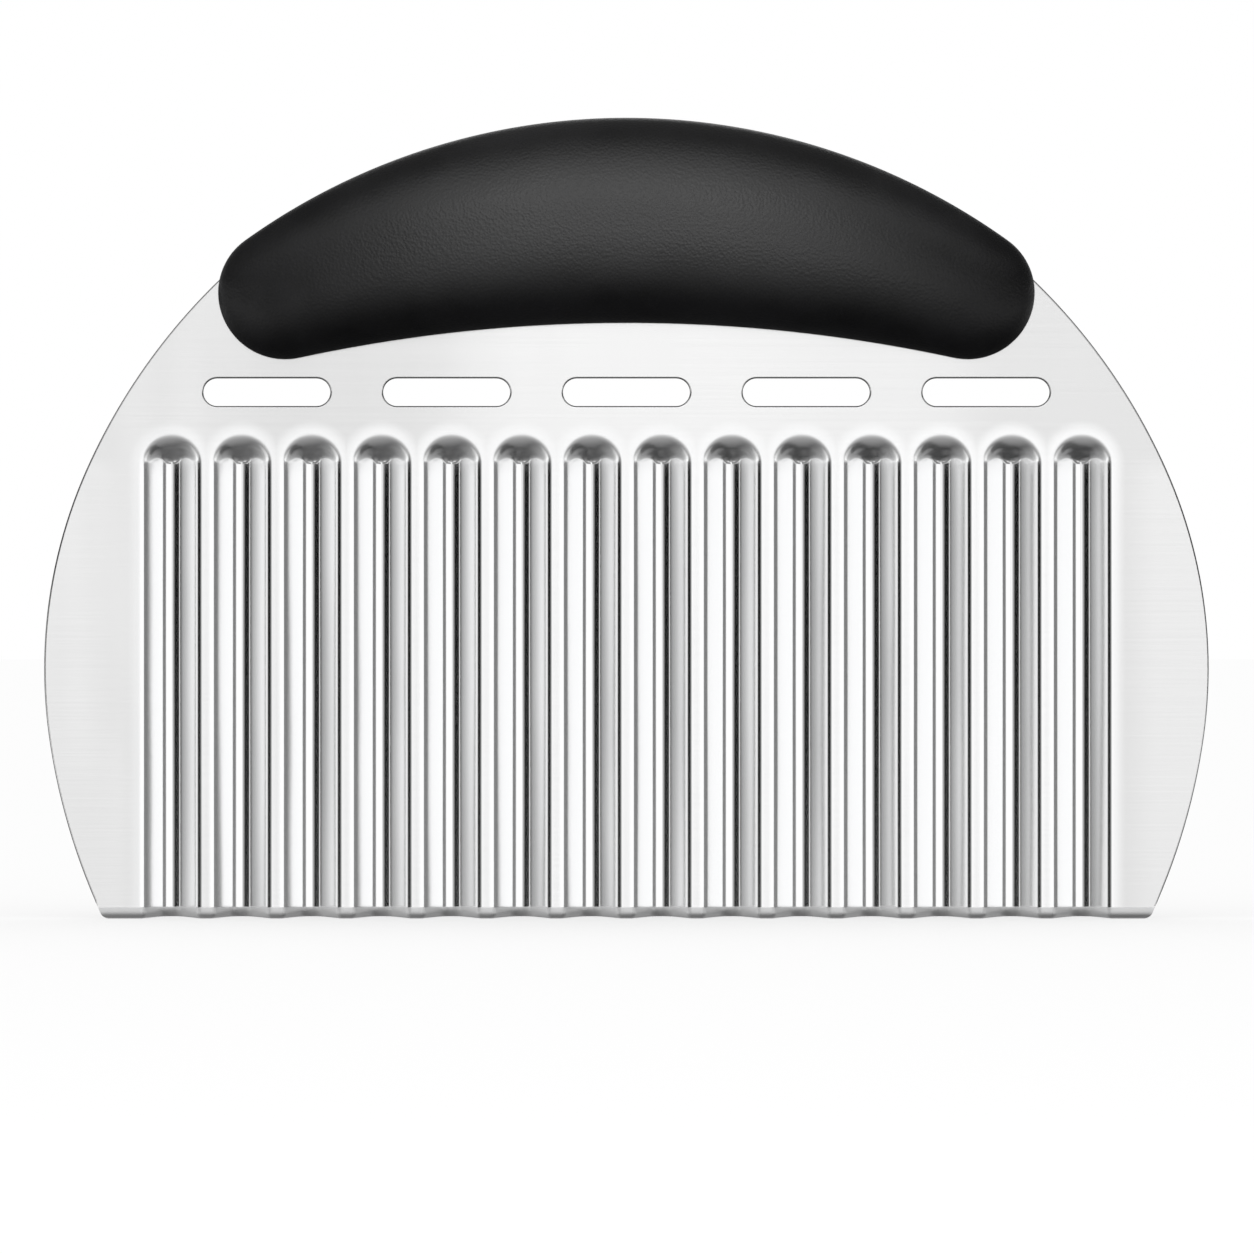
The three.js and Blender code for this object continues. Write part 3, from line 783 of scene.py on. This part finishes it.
    def press_flute(self, mesh: bmesh.types.BMesh, x: float) -> None:
        """Presses one flute: half its profile is turned round the arched end, and both sides are drawn down.

        Args:
            mesh: the sheet.
            x: the flute's middle line.
        """
        angle = self.wall_angle
        root = Vector((x, self.front + self.flute_depth - self.root_radius, self.arch_level))
        rim = Vector((x + self.flute_half, self.front + self.rim_radius, self.arch_level))
        pen = Pen(mesh, root + Vector((0, self.root_radius, 0)), Vector((0, 0, 1)))
        pen.arc(root, self.wall_bow - angle, self.root_steps)
        self.draw_wall(pen, rim - self.lean(angle + self.wall_bow) * self.rim_radius)
        pen.arc(rim, angle + self.wall_bow, self.wall_steps)
        chain = [v for e in pen.edges for v in e.verts]
        before = set(mesh.verts)
        turned = bmesh.ops.spin(
            mesh,
            geom=list(dict.fromkeys(chain)) + pen.edges,
            cent=(x, 0, self.arch_level),
            axis=(0, -1, 0),
            angle=math.pi,
            steps=self.arch_steps,
        )
        for vert in mesh.verts:
            if vert not in before and vert.co.z > self.arch_level + SAME_PLACE:
                vert.co.y = self.front + self.arch_depth(abs(vert.co.x - x), vert.co.z - self.arch_level)
        for edges in (pen.edges, edges_of(turned["geom_last"])):
            drawn = bmesh.ops.extrude_edge_only(mesh, edges=edges)
            foot = verts_of(drawn["geom"])
            bmesh.ops.translate(mesh, verts=foot, vec=(0, 0, -self.arch_level))
            for vert in foot:
                vert.co.y = self.front + (vert.co.y - self.front) * self.foot_share

    def root_depth(self, across: float) -> float:
        """How deep a flute's rounded root lies, at a distance from its middle line."""
        return self.flute_depth - self.root_radius + math.sqrt(self.root_radius**2 - across**2)

    def rim_depth(self, across: float) -> float:
        """How deep a flute's rounded rim lies, at a distance from its middle line."""
        return self.rim_radius - math.sqrt(self.rim_radius**2 - (self.flute_half - across) ** 2)

    def profile_depth(self, across: float) -> float:
        """How deep the straight part of a flute lies, at a distance from its middle line."""
        root_end = self.root_radius * math.sin(self.wall_angle - self.wall_bow)
        rim_start = self.flute_half - self.rim_radius * math.sin(self.wall_angle + self.wall_bow)
        if across < root_end:
            return self.root_depth(across)
        if across > rim_start:
            return self.rim_depth(across)
        deep = self.root_depth(root_end)
        shallow = self.rim_depth(rim_start)
        share = (across - root_end) / (rim_start - root_end)
        chord = math.hypot(rim_start - root_end, deep - shallow)
        hollow = chord * math.tan(self.wall_bow / 2) / 2 / math.cos(self.wall_angle)
        return deep + (shallow - deep) * share + 4 * hollow * share * (1 - share)

    def arch_depth(self, across: float, above: float) -> float:
        """How deep a flute's arched end lies: its straight walls run up into a wider rounded lip.

        Args:
            across: the distance from the flute's middle line.
            above: the height over the arch's level.

        Returns:
            The depth behind the front face.
        """
        reach = math.hypot(across, above)
        rise = (above / reach) ** 2
        inset = max(0.0, self.flute_half - reach)
        curved = min(inset, self.lip_radius * math.sin(self.lip_turn))
        lip = self.lip_radius - math.sqrt(self.lip_radius**2 - curved**2)
        lip += (inset - curved) * math.tan(self.lip_turn)
        scoop = self.scoop_depth * max(0.0, 1 - ((reach - self.scoop_middle) / self.scoop_half) ** 2) ** 2
        end = (self.profile_depth(reach) + scoop) * (1 - rise) + lip * rise
        wall = self.profile_depth(across)
        blend = min(self.lip_blend * min(1.0, 4 * rise), end, wall)
        if blend < SAME_PLACE:
            return min(end, wall)
        share = max(0.0, 1 - abs(end - wall) / blend)
        return min(end, wall) - blend * share**2 / 4

    @staticmethod
    def lean(angle: float) -> Vector:
        """The direction square to a flute's wall, to the right and back."""
        return Vector((math.sin(angle), math.cos(angle), 0))

    def draw_wall(self, pen: Pen, end: Vector) -> None:
        """Draws a flute's wall to its rim, a little hollow."""
        chord = end - pen.tip.co
        inward = Vector((chord.y, -chord.x, 0)).normalized()
        radius = chord.length / (2 * math.sin(self.wall_bow))
        middle = pen.tip.co + chord / 2
        centre = middle + inward * radius * math.cos(self.wall_bow)
        pen.arc(centre, -2 * self.wall_bow, self.wall_steps)

    def join_front(self, mesh: bmesh.types.BMesh) -> None:
        """Joins the flutes to the plate, and scores the rows of the ground bevel."""
        bmesh.ops.remove_doubles(mesh, verts=mesh.verts[:], dist=SAME_PLACE)
        for row in range(self.bevel_rows):
            score = Vector((0, 0, self.bevel_height * (row + 1) / self.bevel_rows))
            bmesh.ops.bisect_plane(
                mesh, geom=all_of(mesh), dist=SAME_PLACE, plane_co=score, plane_no=(0, 0, 1)
            )
        bmesh.ops.recalc_face_normals(mesh, faces=mesh.faces[:])
        if sum(f.normal.y * f.calc_area() for f in mesh.faces) > 0:
            bmesh.ops.reverse_faces(mesh, faces=mesh.faces[:])

    def thicken(self, mesh: bmesh.types.BMesh) -> None:
        """Gives the sheet its thickness, and grinds the front down to the edge, rounder on the lands."""
        mesh.normal_update()
        ground_off = self.sheet - self.edge_thickness
        grinding = []
        for vert in mesh.verts:
            if vert.co.z < self.bevel_height - SAME_PLACE:
                below = 1 - vert.co.z / self.bevel_height
                sunk = (vert.co.y - self.front) / self.flute_depth
                power = self.land_bevel_power + (self.groove_bevel_power - self.land_bevel_power) * sunk
                vert.co.z += self.edge_rise * sunk * below
                depth = ground_off * below**power
                grinding.append((vert, vert.co - vert.normal * vert.calc_shell_factor() * depth))
        bmesh.ops.solidify(mesh, geom=mesh.faces[:], thickness=self.sheet)
        for vert, place in grinding:
            vert.co = place
        mesh.normal_update()

    def round_borders(self, mesh: bmesh.types.BMesh) -> None:
        """Rounds the cut borders of the outline and the slots a little."""
        borders = [e for e in mesh.edges if e.is_manifold and self.is_border(e)]
        bmesh.ops.bevel(
            mesh,
            geom=borders,
            offset=self.edge_round,
            offset_type="OFFSET",
            segments=2,
            profile=0.5,
            affect="EDGES",
            material=-1,
            clamp_overlap=True,
        )

    def is_border(self, edge: bmesh.types.BMEdge) -> bool:
        """Whether an edge runs along a border of a flat face, clear of the ground bevel."""
        clear = min(v.co.z for v in edge.verts) > self.bevel_height + self.border
        flat = all(abs(abs(v.co.y) - self.sheet / 2) < SAME_PLACE for v in edge.verts)
        return clear and flat and edge.calc_face_angle() > self.border_turn

    def mark_sharp(self, mesh: bmesh.types.BMesh) -> None:
        """Shades the sheet smooth, with crisp lines at the ground bevel and the cutting edge."""
        mesh.normal_update()
        for face in mesh.faces:
            face.smooth = True
        for edge in mesh.edges:
            scored = all(abs(v.co.z - self.bevel_height) < SAME_PLACE for v in edge.verts)
            edge.smooth = not scored and edge.is_manifold and edge.calc_face_angle() < self.sharp_turn


@dataclass
class SoftGrip:
    """The black over-moulded skin of the handle: a crowned form, open below in a slit round the blade."""

    half: float = 56.09 * MM
    thickness: float = 22 * MM
    top: float = 110 * MM
    end_level: float = 86 * MM
    crown_radius: float = 89.96 * MM
    tip_radius: float = 8.8 * MM
    belly_level: float = 81.8 * MM
    belly_radius: float = 213.2 * MM
    lobe_radius: float = 9.2 * MM
    plan_fullness: float = 2.6
    section_fullness: float = 2.4
    skin: float = 2 * MM
    slit_half: float = 0.7 * MM
    slit_top: float = 88.9 * MM
    slit_reach: float = 2.5 * MM
    sharp_turn: float = math.radians(40)
    stations: int = 120
    sides: int = 128

    def top_at(self, x: float) -> float:
        """The grip's upper outline: the crown, then the tip's arc."""
        along = abs(x)
        tip_x = self.half - self.tip_radius
        if along * (self.crown_radius - self.tip_radius) <= self.crown_radius * tip_x:
            return self.top - self.crown_radius + math.sqrt(self.crown_radius**2 - along**2)
        return self.end_level + math.sqrt(max(0.0, self.tip_radius**2 - (along - tip_x) ** 2))

    def bottom_at(self, x: float) -> float:
        """The grip's lower outline: the belly, then the end lobe's arc."""
        along = abs(x)
        lobe_x = self.half - self.lobe_radius
        if along * (self.belly_radius + self.lobe_radius) <= self.belly_radius * lobe_x:
            return self.belly_level - self.belly_radius + math.sqrt(self.belly_radius**2 - along**2)
        return self.end_level - math.sqrt(max(0.0, self.lobe_radius**2 - (along - lobe_x) ** 2))

    def plan_half(self, x: float) -> float:
        """Half the grip's thickness, seen from above."""
        share = min(1.0, abs(x) / self.half)
        return self.thickness / 2 * (1 - share**self.plan_fullness) ** (1 / self.plan_fullness)

    def on_section(self, ray: float) -> float:
        """Squares a round section off: the cosine or sine of an angle becomes a superellipse's."""
        return math.copysign(abs(ray) ** (2 / self.section_fullness), ray)

    def formed(self, unit: Vector) -> Vector:
        """Moves a point of a unit ball, with its poles on X, to its place on the grip.

        Args:
            unit: the point on the ball.

        Returns:
            The point on the grip.
        """
        x = self.half * unit.x
        round_part = math.hypot(unit.y, unit.z)
        if round_part < SAME_PLACE:
            return Vector((x, 0, self.end_level))
        top, bottom = self.top_at(x), self.bottom_at(x)
        y = self.plan_half(x) * self.on_section(unit.y / round_part)
        z = (top + bottom) / 2 + (top - bottom) / 2 * self.on_section(unit.z / round_part)
        return Vector((x, y, z))

    def build(self, finish: Finish) -> bpy.types.Object:
        """Models the skin and dresses it.

        Args:
            finish: the soft-touch finish.

        Returns:
            The skin.
        """
        mesh = bmesh.new()
        to_x = Matrix.Rotation(math.pi / 2, 4, "Y")
        bmesh.ops.create_uvsphere(
            mesh, u_segments=self.sides, v_segments=self.stations, radius=1, matrix=to_x
        )
        for vert in mesh.verts:
            vert.co = self.formed(vert.co)
        bmesh.ops.recalc_face_normals(mesh, faces=mesh.faces[:])
        self.cut_slit(mesh)
        bmesh.ops.solidify(mesh, geom=mesh.faces[:], thickness=self.skin)
        mesh.normal_update()
        for face in mesh.faces:
            face.smooth = True
        for edge in mesh.edges:
            edge.smooth = edge.is_manifold and edge.calc_face_angle() < self.sharp_turn
        return piece_from(mesh, "soft_grip_dressed", finish.material())

    def cut_slit(self, mesh: bmesh.types.BMesh) -> None:
        """Opens the slit that the blade leaves through, from end to end."""
        for place, square in (
            (Vector((0, -self.slit_half, 0)), Vector((0, 1, 0))),
            (Vector((0, self.slit_half, 0)), Vector((0, 1, 0))),
            (Vector((0, 0, self.slit_top)), Vector((0, 0, 1))),
        ):
            near = [f for f in mesh.faces if self.by_slit(f)]
            edges = list(dict.fromkeys(e for f in near for e in f.edges))
            verts = list(dict.fromkeys(v for f in near for v in f.verts))
            bmesh.ops.bisect_plane(
                mesh, geom=verts + edges + near, dist=SAME_PLACE, plane_co=place, plane_no=square
            )
        slit = [f for f in mesh.faces if self.in_slit(f)]
        bmesh.ops.delete(mesh, geom=slit, context="FACES")

    def by_slit(self, face: bmesh.types.BMFace) -> bool:
        """Whether a face lies near the slit."""
        near = min(abs(v.co.y) for v in face.verts) < self.slit_reach
        return near and min(v.co.z for v in face.verts) < self.slit_top

    def in_slit(self, face: bmesh.types.BMFace) -> bool:
        """Whether a face lies inside the slit."""
        middle = face.calc_center_median()
        return abs(middle.y) < self.slit_half and middle.z < self.slit_top


@dataclass
class Handle:
    """The handle: its soft skin, and the core and rivets that the skin hides."""

    skin: SoftGrip
    core_nodes: tuple[str, ...] = ("core_front", "core_rear")
    rivet_places: tuple[str, ...] = ("left", "centre", "right")

    def dress_insides(self, core: Finish, rivet: Finish) -> None:
        """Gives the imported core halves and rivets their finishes.

        Args:
            core: the finish of the moulded core.
            rivet: the finish of the rivets.
        """
        plastic = core.material()
        metal = rivet.material()
        for name in self.core_nodes:
            self.dress(name, plastic)
        for place in self.rivet_places:
            self.dress(f"rivet_barrel_{place}", metal)
            self.dress(f"rivet_post_{place}", metal)

    def dress(self, name: str, material: bpy.types.Material) -> None:
        """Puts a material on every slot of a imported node."""
        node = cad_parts[name]
        if not node.material_slots:
            node.data.materials.append(material)
        for slot in node.material_slots:
            slot.material = material
        LOG.info("dressed %s", name)


def stage_card(mesh: bmesh.types.BMesh, finish: Finish) -> bpy.types.Object:
    """Makes a card that shapes reflections, and that neither the camera nor the shadows see.

    Args:
        mesh: the card's mesh.
        finish: its finish, which names it.

    Returns:
        The card.
    """
    card = piece_from(mesh, finish.name, finish.material())
    card.visible_camera = False
    card.visible_shadow = False
    card.visible_diffuse = False
    return card


@dataclass
class Studio:
    """The plain studio: a pale floor, a soft lamp, a tent for the steel to reflect, and the camera.

    The tent's stops are those of its cloths. Stops behind hold for the left and for the right.
    """

    image: int = 1254
    scale: float = 0.1374 * MM
    camera_distance: float = 1500 * MM
    aim_x: float = 0.08 * MM
    aim_z: float = 40.05 * MM
    sensor: float = 36.0
    floor_size: float = 24.0
    lamp_size: float = 0.36
    lamp_radiance: float = 0.8
    lamp_place: Triple = (-0.02, -1.0, 0.38)
    lamp_aim: Triple = (0, 0, 0.06)
    tent_radius: float = 4.0
    tent_sides: int = 72
    wall_split: float = 0.45
    below_level: float = -0.3
    wall_stops: Stops = (
        (-110, 0.4),
        (-100, 0.85),
        (-60, 0.85),
        (-56, 0.0),
        (-24, 0.0),
        (-20, 0.25),
        (-14, 0.35),
        (-12, 0.43),
        (-8, 0.72),
        (-5, 0.98),
        (-2.5, 1.06),
        (2, 1.08),
        (36, 1.15),
        (44, 0.2),
        (80, 0.2),
        (110, 0.3),
    )
    wall_behind: Stops = ((125, 0.9), (150, 1.0), (156, 0.3), (160, 0.3), (166, 1.0), (180, 1.0))
    upper_stops: Stops = ((-60, 0.05), (-32, 0.2), (-12, 0.8), (-3, 1.0), (5, 0.75), (22, 0.2), (60, 0.05))
    upper_behind: Stops = ((120, 0.05), (140, 0.2), (165, 0.8), (180, 1.0))
    near_radius: float = 0.6
    overhead_level: float = 0.8
    overhead_half: float = 1.6
    near_stops: Stops = ((-30, 0.6), (-8, 0.9), (0, 1.0), (20, 1.0), (32, 0.4), (80, 0.3))
    far_stops: Stops = (
        (-100, 0.6),
        (-60, 1.6),
        (-42, 1.4),
        (-32, 0.6),
        (-8, 0.9),
        (0, 1.0),
        (20, 1.0),
        (32, 0.4),
        (42, 1.2),
        (60, 1.5),
        (100, 0.4),
    )
    below_behind: Stops = ((125, 1.4), (150, 1.4), (156, 0.4), (160, 0.4), (166, 1.4), (180, 1.4))
    below_outward: Stops = (
        (0, 0.08),
        (0.09, 0.15),
        (0.38, 0.28),
        (0.82, 0.38),
        (1.46, 0.55),
        (2.5, 0.85),
        (4, 1.15),
    )
    above_stops: Stops = ((0, 0.1), (0.2, 0.2), (0.4, 0.38), (0.7, 0.7), (1.2, 0.85))

    def build(self) -> None:
        """Sets the studio up."""
        self.set_colours()
        self.place_camera()
        self.light_world()
        self.lay_floor()
        self.place_lamp()
        self.hang_tent()

    def set_colours(self) -> None:
        """Keeps colours as they are written."""
        bpy.context.scene.view_settings.view_transform = "Standard"

    def place_camera(self) -> None:
        """Looks straight at the front, at the photograph's size."""
        lens = bpy.data.cameras.new("camera")
        lens.sensor_width = self.sensor
        lens.lens = self.sensor * self.camera_distance / (self.image * self.scale)
        lens.clip_start = 0.01
        camera = bpy.data.objects.new("camera", lens)
        camera.location = (self.aim_x, -self.camera_distance, self.aim_z)
        camera.rotation_euler = (math.pi / 2, 0, 0)
        bpy.context.scene.collection.objects.link(camera)
        bpy.context.scene.camera = camera

    def light_world(self) -> None:
        """Makes the surroundings plain white."""
        world = bpy.data.worlds.new("studio")
        world.use_nodes = True
        bpy.context.scene.world = world
        shader = Shader(world.node_tree)
        inputs = {"Color": (1, 1, 1, 1), "Strength": 1.0}
        white = shader.out(shader.add("ShaderNodeBackground", None, inputs), "Background")
        shader.add("ShaderNodeOutputWorld", None, {"Surface": white})

    def lay_floor(self) -> None:
        """Lays a wide pale floor under the cutting edge."""
        mesh = bmesh.new()
        bmesh.ops.create_grid(mesh, x_segments=8, y_segments=8, size=self.floor_size / 2)
        floor = piece_from(mesh, "floor", PaleFloor("pale_floor").material())
        floor.visible_glossy = False
        floor.visible_diffuse = False

    def place_lamp(self) -> None:
        """Hangs a soft lamp in front, nearer and higher than the camera."""
        lamp = bpy.data.lights.new("front_softbox", "AREA")
        lamp.shape = "SQUARE"
        lamp.size = self.lamp_size
        lamp.energy = self.lamp_radiance * math.pi * self.lamp_size**2
        softbox = bpy.data.objects.new("front_softbox", lamp)
        softbox.location = self.lamp_place
        aim = Vector(self.lamp_aim) - Vector(self.lamp_place)
        softbox.rotation_euler = aim.to_track_quat("-Z", "Y").to_euler()
        bpy.context.scene.collection.objects.link(softbox)

    @staticmethod
    def all_round(front: Stops, behind: Stops) -> Stops:
        """Joins the stops in front and beside with those behind, which are the same on both sides."""
        return tuple((-angle, grey) for angle, grey in reversed(behind)) + front + behind

    def hang_ring(self, inner: Vector, outer: Vector, finish: Finish) -> bpy.types.Object:
        """Hangs a ring of the tent, from one point at the back to another and all the way round.

        Args:
            inner: the point where the ring's profile starts.
            outer: the point where it ends.
            finish: the ring's cloth.

        Returns:
            The ring.
        """
        mesh = bmesh.new()
        pen = Pen(mesh, inner, Vector((0, 0, 1)))
        pen.line(outer)
        bmesh.ops.spin(
            mesh,
            geom=mesh.verts[:] + mesh.edges[:],
            axis=(0, 0, 1),
            angle=math.tau,
            steps=self.tent_sides,
            use_merge=True,
        )
        return stage_card(mesh, finish)

    def hang_tent(self) -> None:
        """Hangs the tent's wall round the object, a cloth above it and two below the floor."""
        foot = Vector((0, self.tent_radius, self.below_level))
        split = Vector((0, self.tent_radius, self.wall_split))
        top = Vector((0, self.tent_radius, self.tent_radius))
        near = Vector((0, self.near_radius, self.below_level))
        far_stops = self.all_round(self.far_stops, self.below_behind)
        near_stops = self.all_round(self.near_stops, self.below_behind)
        wall = TentCloth("tent_wall", self.all_round(self.wall_stops, self.wall_behind))
        upper = TentCloth("upper_wall", self.all_round(self.upper_stops, self.upper_behind))
        self.hang_ring(foot, split, wall)
        self.hang_ring(split, top, upper)
        far_ring = self.hang_ring(near, foot, TentCloth("far_cloth", far_stops, self.below_outward))
        mesh = bmesh.new()
        low = Matrix.Translation((0, 0, self.below_level))
        bmesh.ops.create_circle(
            mesh, cap_ends=True, segments=self.tent_sides, radius=self.near_radius, matrix=low
        )
        near_disc = stage_card(mesh, TentCloth("near_cloth", near_stops, self.below_outward))
        for below in (far_ring, near_disc):
            below.visible_diffuse = True
        mesh = bmesh.new()
        high = Matrix.Translation((0, 0, self.overhead_level))
        bmesh.ops.create_grid(mesh, x_segments=1, y_segments=1, size=self.overhead_half, matrix=high)
        stage_card(mesh, OverheadCloth("overhead_cloth", self.above_stops))


def main() -> None:
    """Builds the cutter's looks and the studio."""
    logging.basicConfig(level=logging.INFO, format="%(message)s")
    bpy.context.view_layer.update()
    sheet = Blade()
    steel = BrushedSteel(
        "brushed_steel",
        sheet.flute_pitch,
        sheet.flute_count // 2,
        sheet.flute_half,
        sheet.arch_level,
        sheet.bevel_height,
    )
    soft = SoftTouch("soft_touch")
    blade = sheet.build(steel)
    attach(blade, "root")
    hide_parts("blade")
    LOG.info("built %s with %d faces", blade.name, len(blade.data.polygons))
    handle = Handle(SoftGrip())
    grip = handle.skin.build(soft)
    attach(grip, "root")
    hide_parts("soft_grip")
    LOG.info("built %s with %d faces", grip.name, len(grip.data.polygons))
    handle.dress_insides(MouldedPlastic("moulded_plastic"), TurnedAluminium("turned_aluminium"))
    Studio().build()
    bpy.context.view_layer.update()


if __name__ == "__main__":
    main()
